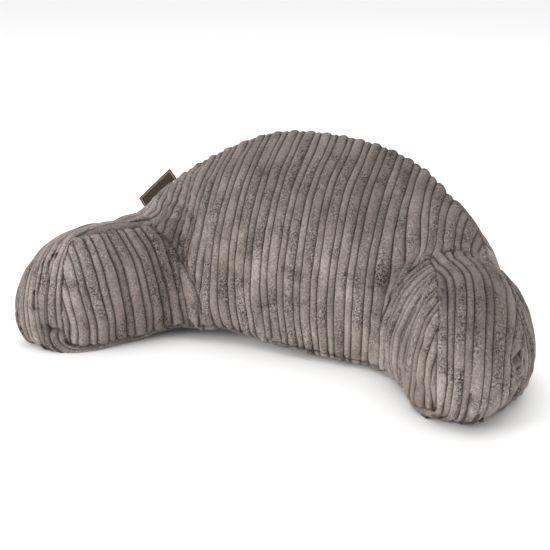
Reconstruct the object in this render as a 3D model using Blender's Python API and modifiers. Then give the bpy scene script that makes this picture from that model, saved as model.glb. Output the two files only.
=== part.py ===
"""Reading pillow with arms: a half-round leaning back and two short splayed arms, sewn from cord velour.

The pillow is one filled cushion. Its sewing lines are named curves, the cloth panels between them are
lofted from line to line with a crown, and a Subdivision Surface rounds the whole form. A bare woven
side label stands out of the arched seam.

Units are metres, and the tables are in millimetres. The reader leans on the -Y side and +Z is up. The
origin is on the resting surface, under the middle of the pillow.
"""

import bpy
import bmesh
from math import sqrt
from mathutils import Matrix, Vector

MM = 0.001

# Driving dimensions, in millimetres. Y is measured from the front base seam until the form is placed.
ARCH_RADIUS = 344.6       # the half-round outline of the back
ARCH_HALF = 279           # half the width of the arch where it meets the arms
APEX_HEIGHT = 294         # sewn edge at the top of the back
APEX_BACK = 124           # how far the apex leans behind the front base seam
LEAN = 0.374              # run back for each unit of fall along the arch
SQUARER = 0.22            # the +X shoulder of the arch falls away this share later than an arc
BASE_HALF = 158           # half the width of the front panel at the base
SLUMP = 0.026             # the filling has sunk toward -X: drop for each unit of X, at the apex
PRESSED = 7               # the underside is this much too full, and the resting surface presses it flat
ROLL = 5                  # the underside rolls out this far below its seams
CENTRE_X = -1             # the middle of the finished form in X and Y, where the origin is put
CENTRE_Y = 34

# Crown of each panel at its middle, in millimetres.
FRONT_CROWN = 40
REAR_CROWN = 34
INNER_CROWN = 22
OUTER_CROWN = 13

# Cage cells along each run of seam. Panels that share a seam share its count.
ROOT_CELLS = 4            # arm root, arm end and rear side, each from base to top
BASE_CELLS = 6            # front base seam between the arms
STRIP_CELLS = 3           # across the arm strip
ARM_CELLS = 4             # along the arm
SUBDIVISIONS = 2

# Side label: a folded woven tab held in the arched seam.
LABEL_WIDTH = 68
LABEL_REACH = 18
LABEL_THICKNESS = 1.4
LABEL_FOOT = -0.5          # the foot of the label, out from the seam line: the seam curves away from it
LABEL_X = -246


def arch_point(x):
    """The arched seam at one X: an arc that leans back as it rises, squarer on the +X side."""
    fall = ARCH_RADIUS - sqrt(ARCH_RADIUS ** 2 - x ** 2)
    if x > 0:
        fall *= 1 - SQUARER * (1 - (x / ARCH_HALF) ** 2)
    return Vector((x, APEX_BACK - LEAN * fall, APEX_HEIGHT - fall))


# Where sewing lines meet on the +X side.
CORNERS = {
    "base": Vector((BASE_HALF, 0, 16)),        # front panel, arm and base
    "root": Vector((213, 13, 161)),            # top of the arm's inner panel, at the front panel
    "arm_back": arch_point(ARCH_HALF),         # arch, arm strip, outer and rear panels
    "tip_top": Vector((267, -114, 160)),       # inner panel's top front corner
    "tip_low": Vector((278, -116, 16)),        # inner panel's bottom front corner
    "outer_top": Vector((352, -40, 112)),      # outer panel's top front corner
    "outer_low": Vector((355, -80, 12)),       # outer panel's bottom front corner
    "heel": Vector((322, 105, 12)),            # outer panel, rear panel and base
}

# The sewing lines of one arm: first corner, points on the way, last corner and cage cells.
SEWING_LINES = {
    "root_side": ("base", [(160, 0, 55), (167, 1, 90), (178, 4, 119), (193, 8, 143)], "root", ROOT_CELLS),
    "root_top": ("root", [(230, 18, 169), (247, 27, 173), (263, 42, 170)], "arm_back", STRIP_CELLS),
    "ridge_top": ("root", [(229, -24, 164), (248, -70, 167)], "tip_top", ARM_CELLS),
    "ridge_end": ("tip_top", [(273, -127, 130), (276, -133, 79), (276, -130, 40)], "tip_low", ROOT_CELLS),
    "ridge_low": ("tip_low", [(246, -98, 11), (205, -58, 11), (178, -28, 14)], "base", ARM_CELLS),
    "outer_over": ("arm_back", [(305, 28, 155), (328, -8, 147), (344, -32, 132)], "outer_top", ARM_CELLS),
    "outer_end": ("outer_top", [(356, -45, 70), (359, -52, 42)], "outer_low", ROOT_CELLS),
    "outer_under": ("outer_low", [(353, -25, 9), (342, 45, 10)], "heel", ARM_CELLS),
    "rear_side": ("heel", [(318, 104, 55), (305, 92, 105)], "arm_back", ROOT_CELLS),
    "under": ("base", [(235, 55, 6)], "heel", STRIP_CELLS),
}

# The right half of the front and rear base seams, from the middle out.
FRONT_BASE = [(0, -3, 18), (60, -2, 18), (BASE_HALF, 0, 16)]
REAR_BASE = [(0, 197, 12), (110, 188, 12), (220, 162, 12), tuple(CORNERS["heel"])]

# Crown of the arm strips: (share of their length from the root round to the base, millimetres). The arm
# at -X has settled: it is flatter on top and fuller at its end.
RIGHT_CROWN = [(0, 4), (0.1, 9), (0.3, 12), (0.42, 30), (0.5, 50), (0.6, 52), (0.68, 42), (0.8, 0), (1, 0)]
LEFT_CROWN = [(0, 0), (0.2, 0), (0.28, 5), (0.36, 28), (0.5, 60), (0.6, 62), (0.68, 54), (0.8, 0), (1, 0)]

# A point inside the back, and one inside each arm: panels crown away from these.
BACK_HEART = Vector((0, 90, 100))
ARM_HEART = Vector((300, -20, 75))


def evenly(fine, cells):
    """cells + 1 points at equal distances along a polyline."""
    travelled = [0.0]
    for a, b in zip(fine, fine[1:]):
        travelled.append(travelled[-1] + (b - a).length)
    spaced = []
    k = 0
    for cell in range(cells + 1):
        wanted = travelled[-1] * cell / cells
        while k < len(fine) - 2 and travelled[k + 1] < wanted:
            k += 1
        share = (wanted - travelled[k]) / (travelled[k + 1] - travelled[k])
        spaced.append(fine[k].lerp(fine[k + 1], share))
    return spaced


def smooth_line(points, cells, steps=24):
    """cells + 1 evenly spaced points of a Catmull-Rom curve through the given points."""
    points = [Vector(p) for p in points]
    last = len(points) - 1
    fine = []
    for k in range(last):
        start = points[k]
        end = points[k + 1]
        leave = (end - points[max(k - 1, 0)]) * (0.5 if k else 1.0)
        arrive = (points[min(k + 2, last)] - start) * (0.5 if k + 1 < last else 1.0)
        for step in range(steps):
            u = step / steps
            fine.append(
                start * (2 * u ** 3 - 3 * u ** 2 + 1)
                + leave * (u ** 3 - 2 * u ** 2 + u)
                + end * (3 * u ** 2 - 2 * u ** 3)
                + arrive * (u ** 3 - u ** 2)
            )
    fine.append(points[last])
    return evenly(fine, cells)


def mirrored(half):
    """A whole line from its right half, which starts in the middle."""
    return [(-x, y, z) for x, y, z in half[:0:-1]] + half


def table_value(rows, share):
    """Straight-line reading of a (share, value) table."""
    for (a, low), (b, high) in zip(rows, rows[1:]):
        if share <= b:
            return low + (high - low) * (share - a) / (b - a)
    return rows[-1][1]


def swell(height, across=0.5, along=0.5):
    """A crown that is full over the middle of a panel and draws in to its seams.

    The lower a power, the steeper the panel leaves the seams at that pair of ends.
    """
    return lambda u, v: height * (4 * u * (1 - u)) ** across * (4 * v * (1 - v)) ** along


def settled(point):
    """A point of the form, in millimetres, as it lies once the filling has sunk, in metres from the origin."""
    sunk = SLUMP * point.x * point.z / APEX_HEIGHT
    return Vector((point.x - CENTRE_X, point.y - CENTRE_Y, point.z + sunk)) * MM


class Cage:
    """A coarse cage of quads. The panels on the two sides of a seam share its vertices."""

    def __init__(self):
        self.mesh = bmesh.new()
        self.seams = []

    def seam(self, points, first=None, final=None):
        """Seam vertices along the points. The end vertices may exist already."""
        line = [self.mesh.verts.new(p) for p in points[1:-1]]
        line.insert(0, first or self.mesh.verts.new(points[0]))
        line.append(final or self.mesh.verts.new(points[-1]))
        self.seams.append(line)
        return line

    def panel(self, low, high, left, right, crown, heart, pressed_from=None):
        """Loft a panel over four seams. low and high run one way, left and right the other.

        Past the share pressed_from of the first way, the panel lies on the resting surface.
        """
        columns = len(low) - 1
        rows = len(left) - 1
        flat = {}
        for i in range(columns + 1):
            for j in range(rows + 1):
                u = i / columns
                v = j / rows
                ruled = low[i].co * (1 - v) + high[i].co * v + left[j].co * (1 - u) + right[j].co * u
                near = low[0].co * (1 - v) + high[0].co * v
                far = low[-1].co * (1 - v) + high[-1].co * v
                flat[i, j] = ruled - near * (1 - u) - far * u
        spot = {}
        for i in range(columns + 1):
            spot[i, 0] = low[i]
            spot[i, rows] = high[i]
        for j in range(rows + 1):
            spot[0, j] = left[j]
            spot[columns, j] = right[j]
        for i in range(1, columns):
            for j in range(1, rows):
                across = flat[i + 1, j] - flat[i - 1, j]
                along = flat[i, j + 1] - flat[i, j - 1]
                outward = across.cross(along).normalized()
                if outward.dot(flat[i, j] - heart) < 0:
                    outward = -outward
                place = flat[i, j] + outward * crown(i / columns, j / rows)
                if pressed_from is not None and i / columns > pressed_from:
                    if j in (1, rows - 1):
                        seam = low[i].co if j == 1 else high[i].co
                        place = seam + (seam - flat[i, j]).normalized() * ROLL
                    place.z = -PRESSED
                spot[i, j] = self.mesh.verts.new(place)
        for i in range(columns):
            for j in range(rows):
                self.mesh.faces.new((spot[i, j], spot[i + 1, j], spot[i + 1, j + 1], spot[i, j + 1]))

    def finished(self):
        """The rounded form: seams creased, cage subdivided, underside pressed flat."""
        crease = self.mesh.edges.layers.float.new("crease_edge")
        for line in self.seams:
            for a, b in zip(line, line[1:]):
                self.mesh.edges.get((a, b))[crease] = 1.0
        bmesh.ops.recalc_face_normals(self.mesh, faces=self.mesh.faces)
        for vertex in self.mesh.verts:
            vertex.co = settled(vertex.co)
        coarse = bpy.data.meshes.new("cage")
        self.mesh.to_mesh(coarse)
        self.mesh.free()
        form = bpy.data.objects.new("cage", coarse)
        bpy.context.scene.collection.objects.link(form)
        rounding = form.modifiers.new("rounding", "SUBSURF")
        rounding.levels = SUBDIVISIONS
        rounding.render_levels = SUBDIVISIONS
        graph = bpy.context.evaluated_depsgraph_get()
        mesh = bpy.data.meshes.new_from_object(form.evaluated_get(graph))
        bpy.data.objects.remove(form)
        for vertex in mesh.vertices:
            vertex.co.z = max(vertex.co.z, 0.0)
        mesh.shade_smooth()
        return mesh


def arm_seams(cage, side, corners):
    """The sewing lines of one arm. side is +1 or -1, and corners collects the shared vertices by name."""
    lines = {}
    for name, (start, way, end, cells) in SEWING_LINES.items():
        points = smooth_line([CORNERS[start]] + way + [CORNERS[end]], cells)
        points = [Vector((p.x * side, p.y, p.z)) for p in points]
        lines[name] = cage.seam(points, corners.get(start), corners.get(end))
        corners[start] = lines[name][0]
        corners[end] = lines[name][-1]
    return lines


def arm_panels(cage, lines, side):
    """The inner panel, the outer panel, and the strip over the top, down the end and under the arm."""
    heart = Vector((ARM_HEART.x * side, ARM_HEART.y, ARM_HEART.z))
    cage.panel(lines["ridge_low"][::-1], lines["ridge_top"], lines["root_side"], lines["ridge_end"][::-1],
               swell(INNER_CROWN), heart)
    cage.panel(lines["outer_under"][::-1], lines["outer_over"], lines["rear_side"], lines["outer_end"][::-1],
               swell(OUTER_CROWN), heart)
    inner = lines["ridge_top"] + lines["ridge_end"][1:] + lines["ridge_low"][1:]
    outer = lines["outer_over"] + lines["outer_end"][1:] + lines["outer_under"][1:]
    crowns = LEFT_CROWN if side < 0 else RIGHT_CROWN

    def strip_crown(u, v):
        return table_value(crowns, u) * sqrt(4 * v * (1 - v))

    underside = (ARM_CELLS + ROOT_CELLS) / (2 * ARM_CELLS + ROOT_CELLS)
    cage.panel(inner, outer, lines["root_top"], lines["under"], strip_crown, heart, underside)


def make_cushion():
    cage = Cage()
    right_corners = {}
    left_corners = {}
    right = arm_seams(cage, 1, right_corners)
    left = arm_seams(cage, -1, left_corners)

    across = 2 * ROOT_CELLS + BASE_CELLS
    fine_arch = [arch_point(ARCH_HALF * k / 80) for k in range(-80, 81)]
    arch = cage.seam(evenly(fine_arch, across), left_corners["arm_back"], right_corners["arm_back"])
    front_base = cage.seam(smooth_line(mirrored(FRONT_BASE), BASE_CELLS), left_corners["base"],
                           right_corners["base"])
    rear_base = cage.seam(smooth_line(mirrored(REAR_BASE), across), left_corners["heel"],
                          right_corners["heel"])

    front_low = left["root_side"][::-1] + front_base[1:-1] + right["root_side"]
    cage.panel(front_low, arch, left["root_top"], right["root_top"], swell(FRONT_CROWN, 0.8, 0.4), BACK_HEART)
    cage.panel(rear_base, arch, left["rear_side"], right["rear_side"], swell(REAR_CROWN), BACK_HEART)

    left_edge = left["under"] + rear_base[1:ROOT_CELLS + 1]
    right_edge = right["under"] + rear_base[-2:-ROOT_CELLS - 2:-1]
    rear_middle = rear_base[ROOT_CELLS:-ROOT_CELLS]
    cage.panel(front_base, rear_middle, left_edge, right_edge, swell(0), BACK_HEART, pressed_from=0)

    arm_panels(cage, right, 1)
    arm_panels(cage, left, -1)
    return bpy.data.objects.new("cushion", cage.finished())


def make_label():
    """A flat tab that stands straight out of the arched seam, clear of the cloth by a hair."""
    bpy.ops.mesh.primitive_cube_add(size=1)
    label = bpy.context.object
    label.name = "side_label"
    label.data.name = "side_label"
    label.data.transform(Matrix.Diagonal((LABEL_WIDTH * MM, LABEL_REACH * MM, LABEL_THICKNESS * MM, 1)))
    along = (settled(arch_point(LABEL_X + 1)) - settled(arch_point(LABEL_X - 1))).normalized()
    facing = Vector((0, -1, LEAN)).normalized()
    outward = facing.cross(along).normalized()
    place = settled(arch_point(LABEL_X)) + outward * (LABEL_FOOT + LABEL_REACH / 2) * MM
    frame = Matrix((along, outward, along.cross(outward))).transposed().to_4x4()
    label.matrix_world = Matrix.Translation(place) @ frame
    corners = label.modifiers.new("soft edge", "BEVEL")
    corners.width = 0.3 * MM
    corners.segments = 1
    return label


def material(name, colour, roughness):
    made = bpy.data.materials.new(name)
    made.use_nodes = True
    shader = made.node_tree.nodes["Principled BSDF"]
    shader.inputs["Base Color"].default_value = (*colour, 1)
    shader.inputs["Roughness"].default_value = roughness
    shader.inputs["Metallic"].default_value = 0.0
    return made


def main():
    for old in list(bpy.data.objects):
        bpy.data.objects.remove(old)
    pillow = bpy.data.collections.new("reading_pillow")
    bpy.context.scene.collection.children.link(pillow)

    cushion = make_cushion()
    cushion.data.materials.append(material("cord velour", (0.24, 0.205, 0.175), 0.9))
    pillow.objects.link(cushion)

    label = make_label()
    label.data.materials.append(material("woven label", (0.09, 0.055, 0.035), 0.75))
    for holder in list(label.users_collection):
        holder.objects.unlink(label)
    pillow.objects.link(label)


main()
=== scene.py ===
# %% [markdown]
# # A reading pillow in jumbo cord velour
#
# The pillow is one stuffed cover: a half-round back that leans away from the reader, and two short
# arms that splay forward. Nine pieces of cord velour are sewn together, and a woven tab is caught in
# the arched seam. What the eye reads first is the cord: a wide rib and a narrow rib, over and over,
# each piece of cloth with its own grain direction.
#
# Noise or a texture can't carry ribs this coarse, because they break up the outline. So the ribs are
# real geometry here. Each piece of cloth gets a net of vertices that runs along its own ribs, and all
# the nets share the vertices of the sewn seams, which makes one closed skin.

import time
from math import atan, cos, radians, sin, sqrt

import bpy
import numpy as np
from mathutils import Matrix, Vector
from mathutils.bvhtree import BVHTree
from mathutils.geometry import delaunay_2d_cdt
from mathutils.kdtree import KDTree


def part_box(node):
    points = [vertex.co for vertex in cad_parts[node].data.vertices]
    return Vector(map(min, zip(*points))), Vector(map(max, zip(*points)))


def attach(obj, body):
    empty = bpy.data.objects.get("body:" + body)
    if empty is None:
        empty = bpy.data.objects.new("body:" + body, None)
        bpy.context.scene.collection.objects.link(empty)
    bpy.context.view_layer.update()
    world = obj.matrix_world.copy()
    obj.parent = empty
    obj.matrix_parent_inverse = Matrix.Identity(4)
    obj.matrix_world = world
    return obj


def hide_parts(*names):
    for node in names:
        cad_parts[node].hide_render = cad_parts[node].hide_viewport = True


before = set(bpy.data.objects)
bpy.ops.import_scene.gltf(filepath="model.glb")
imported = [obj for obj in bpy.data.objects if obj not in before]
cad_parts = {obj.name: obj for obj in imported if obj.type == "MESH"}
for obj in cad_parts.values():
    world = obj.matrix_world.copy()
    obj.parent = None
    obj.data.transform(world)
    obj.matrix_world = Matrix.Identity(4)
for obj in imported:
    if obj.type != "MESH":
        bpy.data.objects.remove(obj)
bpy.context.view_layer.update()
low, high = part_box("cushion")
MM = 0.001
print("cushion in the frame, mm:", [round((b - a) / MM) for a, b in zip(low, high)])

# %% [markdown]
# ## The sewing lines
#
# A soft form is easiest to describe by its seams, the way a pattern cutter thinks: where the panels
# meet, and what happens between. The lines below are in millimetres, measured from the middle of the
# front base seam. A few points are enough for each, because a Catmull-Rom curve goes smoothly through
# them. The arms mirror each other, so each line is written once, for +X, and a second table says where
# one arm is sewn on differently.

# %% Corners and lines
ARCH_RADIUS = 344.6
ARCH_HALF = 279  # half the width of the arched seam, from arm to arm
APEX_HEIGHT = 294
APEX_BACK = 124  # how far the top of the arch lies behind the front base seam
LEAN = 0.374  # how far the back leans for each millimetre up
SQUARER = 0.22  # how much less the +X shoulder falls than a plain arc
SEAM_STEP = 3.0
CURVE_STEPS = 24
ARCH_STEPS = 80


def arch_point(x):
    """The arched seam: an arc that leans back as it rises, squarer on the +X shoulder."""
    fall = ARCH_RADIUS - sqrt(ARCH_RADIUS**2 - x**2)
    if x > 0:
        fall *= 1 - SQUARER * (1 - (x / ARCH_HALF) ** 2)
    return (x, APEX_BACK - LEAN * fall, APEX_HEIGHT - fall)


CORNERS = {
    "base": (158, 0, 16),
    "root": (213, 13, 161),
    "arm_back": arch_point(ARCH_HALF),
    "tip_top": (267, -114, 160),
    "tip_low": (278, -116, 16),
    "outer_top": (352, -40, 112),
    "outer_low": (355, -80, 12),
    "heel": (322, 105, 12),
}
LINES = {
    "root_side": ("base", [(160, 0, 55), (167, 1, 90), (178, 4, 119), (193, 8, 143)], "root"),
    "root_top": ("root", [(230, 18, 169), (247, 27, 173), (263, 42, 170)], "arm_back"),
    "ridge_top": ("root", [(229, -24, 164), (248, -70, 167)], "tip_top"),
    "ridge_end": ("tip_top", [(273, -127, 130), (276, -133, 79), (276, -130, 40)], "tip_low"),
    "ridge_low": ("tip_low", [(246, -98, 11), (205, -58, 11), (178, -28, 14)], "base"),
    "outer_over": ("arm_back", [(305, 28, 155), (328, -8, 147), (344, -32, 132)], "outer_top"),
    "outer_end": ("outer_top", [(356, -45, 70), (359, -52, 42)], "outer_low"),
    "outer_under": ("outer_low", [(353, -25, 9), (342, 45, 10)], "heel"),
    "rear_side": ("heel", [(318, 104, 55), (305, 92, 105)], "arm_back"),
    "under": ("base", [(172, 10, 6), (235, 55, 3), (310, 97, 6)], "heel"),
}
FITTED = {
    "left": {"base": (128, -1, 16), "root": (208, -1, 159),
             "root_side": [(129, 0, 45), (132, 1, 70), (146, 5, 92), (165, 8, 112), (187, 6, 138)],
             "root_top": [(222, 12, 168), (243, 26, 173), (263, 42, 170)]},
    "right": {"root": (219, 5, 158), "root_top": [(232, 12, 166), (248, 20, 170), (263, 36, 169)]},
}
FRONT_BASE = [(-128, -1, 16), (-60, -2, 18), (0, -3, 18), (60, -2, 18), (158, 0, 16)]
REAR_BASE = [(0, 197, 12), (110, 188, 12), (220, 162, 12), (322, 105, 12)]


def smooth_line(points, step=SEAM_STEP):
    """Evenly spaced points, about one step apart, along a Catmull-Rom curve through the given ones."""
    points = np.array(points, float)
    ends = np.vstack([2 * points[0] - points[1], points, 2 * points[-1] - points[-2]])
    u = np.arange(CURVE_STEPS)[:, None] / CURVE_STEPS
    runs = []
    for a, b, c, d in zip(ends, ends[1:], ends[2:], ends[3:]):
        hold = b * (2 * u**3 - 3 * u**2 + 1) + c * (3 * u**2 - 2 * u**3)
        runs.append(hold + (c - a) / 2 * (u**3 - 2 * u**2 + u) + (d - b) / 2 * (u**3 - u**2))
    return evenly(np.vstack(runs + [points[-1:]]), step)


def evenly(fine, step=SEAM_STEP):
    """The same polyline with its points one even step apart."""
    travelled = np.append(0, np.cumsum(np.linalg.norm(np.diff(fine, axis=0), axis=1)))
    cells = max(2, round(travelled[-1] / step))
    wanted = np.linspace(0, travelled[-1], cells + 1)
    return np.stack([np.interp(wanted, travelled, fine[:, k]) for k in range(3)], axis=1)


def mirrored(half):
    """A whole line from its right half, which starts in the middle."""
    return [(-x, y, z) for x, y, z in half[:0:-1]] + half


print("the back is", 2 * ARCH_HALF, "mm wide at its arms, and its seam rises to", APEX_HEIGHT, "mm")

# %% [markdown]
# ## Sewing
#
# A skin is closed only if two panels use the very same vertices along their common seam. So the seams
# are laid first. Each seam keeps the numbers of its vertices, and a panel is told its four sides as
# chains of seams.

# %% Lay the seams
skin_points = []
corner_numbers = {}


def sew(points, first, final):
    """Adds a seam's vertices and returns their numbers. Its named end corners may exist already."""
    numbers = []
    for k, point in enumerate(points):
        corner = first if k == 0 else final if k == len(points) - 1 else None
        if corner in corner_numbers:
            numbers.append(corner_numbers[corner])
            continue
        skin_points.append(point)
        numbers.append(len(skin_points) - 1)
        if corner:
            corner_numbers[corner] = numbers[-1]
    return numbers


seams = {}
for side, hand in ((1, "right"), (-1, "left")):
    own = FITTED[hand]
    corners = {**CORNERS, **own}
    for name, (start, way, end) in LINES.items():
        line = smooth_line([corners[start]] + own.get(name, way) + [corners[end]]) * (side, 1, 1)
        seams[hand, name] = sew(line, (hand, start), (hand, end))
arch_line = [arch_point(ARCH_HALF * k / ARCH_STEPS) for k in range(-ARCH_STEPS, ARCH_STEPS + 1)]
seams["arch"] = sew(evenly(np.array(arch_line)), ("left", "arm_back"), ("right", "arm_back"))
seams["front_base"] = sew(smooth_line(FRONT_BASE), ("left", "base"), ("right", "base"))
seams["rear_base"] = sew(smooth_line(mirrored(REAR_BASE)), ("left", "heel"), ("right", "heel"))
seam_count = len(skin_points)
print(len(seams), "seams,", seam_count, "seam vertices")

# %% [markdown]
# ## The cord
#
# Across the cloth one repeat is 26 mm: a wide rib of 15.5 mm and a narrow one of 10.5 mm, with a tight
# crease between them. The profile lists where vertices go across one repeat and how high the pile
# stands there. Ribs in a velour are broad and flat with rounded shoulders, so the vertices crowd
# towards the creases, where the shape turns.

# %% One repeat of the cord
REPEAT = 26.0
WIDE = 15.5
NARROW_DOME = 0.78  # a narrow rib's height as a share of a wide one's, where ribs are rounded
PROFILE = [
    (0.0, 0.0, 1), (0.7, 0.55, 1), (1.9, 0.84, 1), (4.5, 0.97, 1), (7.75, 1.0, 1), (11.0, 0.97, 1),
    (13.6, 0.84, 1), (14.8, 0.55, 1), (WIDE, 0.0, 0), (16.2, 0.5, 0), (17.5, 0.77, 0), (20.75, 0.9, 0),
    (24.0, 0.77, 0), (25.3, 0.5, 0),
]  # mm across, share of the rib height, 1 on the wide rib


def rib_columns(start, end, phase):
    """(place across, height share, on a wide rib, repeat number, dome) of each column of vertices."""
    columns = []
    for repeat in range(int((start - phase) // REPEAT) - 1, int((end - phase) // REPEAT) + 2):
        for across, height, wide in PROFILE:
            place = phase + repeat * REPEAT + across
            share = across / WIDE if wide else (across - WIDE) / (REPEAT - WIDE)
            dome = sqrt(max(1 - (2 * share - 1) ** 2, 0)) * (1 if wide else NARROW_DOME)
            if start < place < end:
                columns.append((place, height, wide, repeat, dome))
    return np.array(columns)


print("one repeat:", WIDE, "mm wide rib,", REPEAT - WIDE, "mm narrow rib,", len(PROFILE), "vertices across")

# %% [markdown]
# ## One panel of cloth
#
# A panel needs two things: a place in space for every point of the cloth, and a flat pattern in which
# its ribs are straight. The net is then made in the flat pattern: rows of vertices along each rib
# column, the seam's own vertices round the edge, and a Delaunay triangulation between them. That
# is the step which lets coarse seams and dense ribs meet in one clean mesh.

# %% Rows along a rib
ROW_STEP = 4.2
END_ROWS = (1.0, 2.3, 4.2, 7.0)  # closer rows near the two ends, mm from the end


def distance_to_line(points, line):
    """Each point's distance from a closed or open polyline, and the nearest place on it."""
    best = np.full(len(points), np.inf)
    nearest = np.zeros_like(points)
    for a, b in zip(line, line[1:]):
        run = b - a
        share = np.clip(((points - a) @ run) / max(run @ run, 1e-9), 0, 1)
        spot = a + share[:, None] * run
        gap = np.linalg.norm(points - spot, axis=1)
        closer = gap < best
        best[closer] = gap[closer]
        nearest[closer] = spot[closer]
    return best, nearest


def column_rows(place, loop, row_step):
    """Where vertices go along one column: evenly between its two ends, and closer together at them."""
    x, y = loop[:, 0], loop[:, 1]
    x2, y2 = np.roll(x, -1), np.roll(y, -1)
    hit = (x > place) != (x2 > place)
    ends = np.sort(y[hit] + (place - x[hit]) * (y2[hit] - y[hit]) / (x2[hit] - x[hit]))
    rows = []
    for start, end in zip(ends[::2], ends[1::2]):
        tips = [t for t in END_ROWS if t < (end - start) / 2]
        rows += [start + t for t in tips] + [end - t for t in tips]
        inner = end - start - 2 * END_ROWS[-1]
        if inner > 0:
            shares = np.linspace(0, 1, round(inner / row_step) + 1)[1:-1]
            rows += list(start + END_ROWS[-1] + inner * shares)
    return sorted(rows)


print("rows about every", ROW_STEP, "mm along a rib, and", len(END_ROWS), "closer ones at each end")

# %% [markdown]
# Every vertex of the cloth also remembers a few facts for later: its height on the rib, whether the rib
# is a wide one, how far it is from the nearest seam. A seam's own vertices hold zeros.

# %% Fill a panel with a net
EDGE_CLEAR = 0.9  # no vertex is nearer to a seam than this, mm
COLUMN_STRIDE = 10000  # more than any column has vertices
TOUCHING = 1e-4
faces = []
face_cloth = []
rib_steps = []
facts_of_cloth = ("height", "wide", "repeat", "dome", "round", "edge")
cloth = {name: [0.0] * seam_count for name in facts_of_cloth}


def fill_panel(rim, rim_flat, phase, surface, heart, round_share=0.35, row_step=ROW_STEP):
    """Adds one panel. rim holds its seam vertices in order, rim_flat their places in the flat pattern.

    surface takes flat points and returns their places in space, NaN where there is no cloth. round_share
    says how much its ribs are rounded by the bend of the cloth.
    """
    columns = rib_columns(rim_flat[:, 0].min(), rim_flat[:, 0].max(), phase)
    rows = [column_rows(column[0], rim_flat, row_step) for column in columns]
    flat = np.array([(column[0], row) for column, places in zip(columns, rows) for row in places])
    facts = np.repeat(columns[:, 1:], [len(places) for places in rows], axis=0)
    order = np.repeat(np.arange(len(rows)), [len(places) for places in rows]) * COLUMN_STRIDE
    order += np.concatenate([np.arange(len(places)) for places in rows]).astype(int)
    edge, _ = distance_to_line(flat, np.vstack([rim_flat, rim_flat[:1]]))
    keep = edge > EDGE_CLEAR
    flat, facts, edge, order = flat[keep], facts[keep], edge[keep], order[keep]
    places = surface(flat)
    keep = ~np.isnan(places[:, 0])
    flat, facts, edge, places, order = flat[keep], facts[keep], edge[keep], places[keep], order[keep]

    first = len(skin_points)
    skin_points.extend(places)
    height, wide, repeat, dome = facts.T
    values = (height, wide, repeat + phase, dome, np.full(len(flat), round_share), edge)
    for name, column in zip(facts_of_cloth, values):
        cloth[name].extend(column)

    numbers = np.array(list(rim) + list(range(first, len(skin_points))))
    everywhere = np.vstack([rim_flat, flat])
    follow = (np.flatnonzero(np.diff(order) == 1) + len(rim)).tolist()
    along = [(k, k + 1) for k in follow]
    rib_steps.extend((first - len(rim) + k, first - len(rim) + k + 1) for k in follow)
    net = delaunay_2d_cdt([Vector(p) for p in everywhere], along, [list(range(len(rim)))], 1, TOUCHING)
    origin = [source[0] for source in net[3]]
    triangles = np.array([[origin[k] for k in face] for face in net[2]])
    ends = np.array(skin_points)[numbers[triangles]]
    outward = np.cross(ends[:, 1] - ends[:, 0], ends[:, 2] - ends[:, 0])
    if (outward * (ends.mean(axis=1) - heart)).sum() < 0:
        triangles = triangles[:, ::-1]
    faces.extend(numbers[triangles])
    face_cloth.extend(everywhere[triangles])
    return len(flat)


print("each vertex of the cloth keeps its", ", ".join(facts_of_cloth))

# %% [markdown]
# ## Back panels, column by column
#
# On the front and the rear of the back every rib lies in an upright plane. So each rib is one curve
# from the lower edge of the panel to the arched seam, and the panel's crown is added to the straight
# line between the two. The crown starts steeply at both seams, as stuffing makes it.

# %% A panel of upright ribs
BACK_HEART = np.array((0, 90, 100))
BACK_PHASE = 4.0  # where a repeat of the cord starts, mm from the middle
FOOT_TURN = 8  # how sharply a rib turns at its foot
feet = np.linspace(-400, 400, 801)


def chain(*parts):
    """Vertex numbers of several seams end to end. A name with a minus runs backwards."""
    numbers = []
    for part in parts:
        backwards = str(part[-1] if isinstance(part, tuple) else part).startswith("-")
        key = (part[0], part[1].lstrip("-")) if isinstance(part, tuple) else part.lstrip("-")
        run = seams[key][::-1] if backwards else seams[key]
        numbers += run[1:] if numbers else run
    return numbers


def by_x(numbers):
    """The places of a chain, sorted by X."""
    places = np.array([skin_points[n] for n in numbers])
    return places[np.argsort(places[:, 0], kind="stable")]


def soft_step(value):
    """0 below 0, 1 above 1, and a smooth step between."""
    value = np.clip(value, 0, 1)
    return value * value * (3 - 2 * value)


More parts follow.
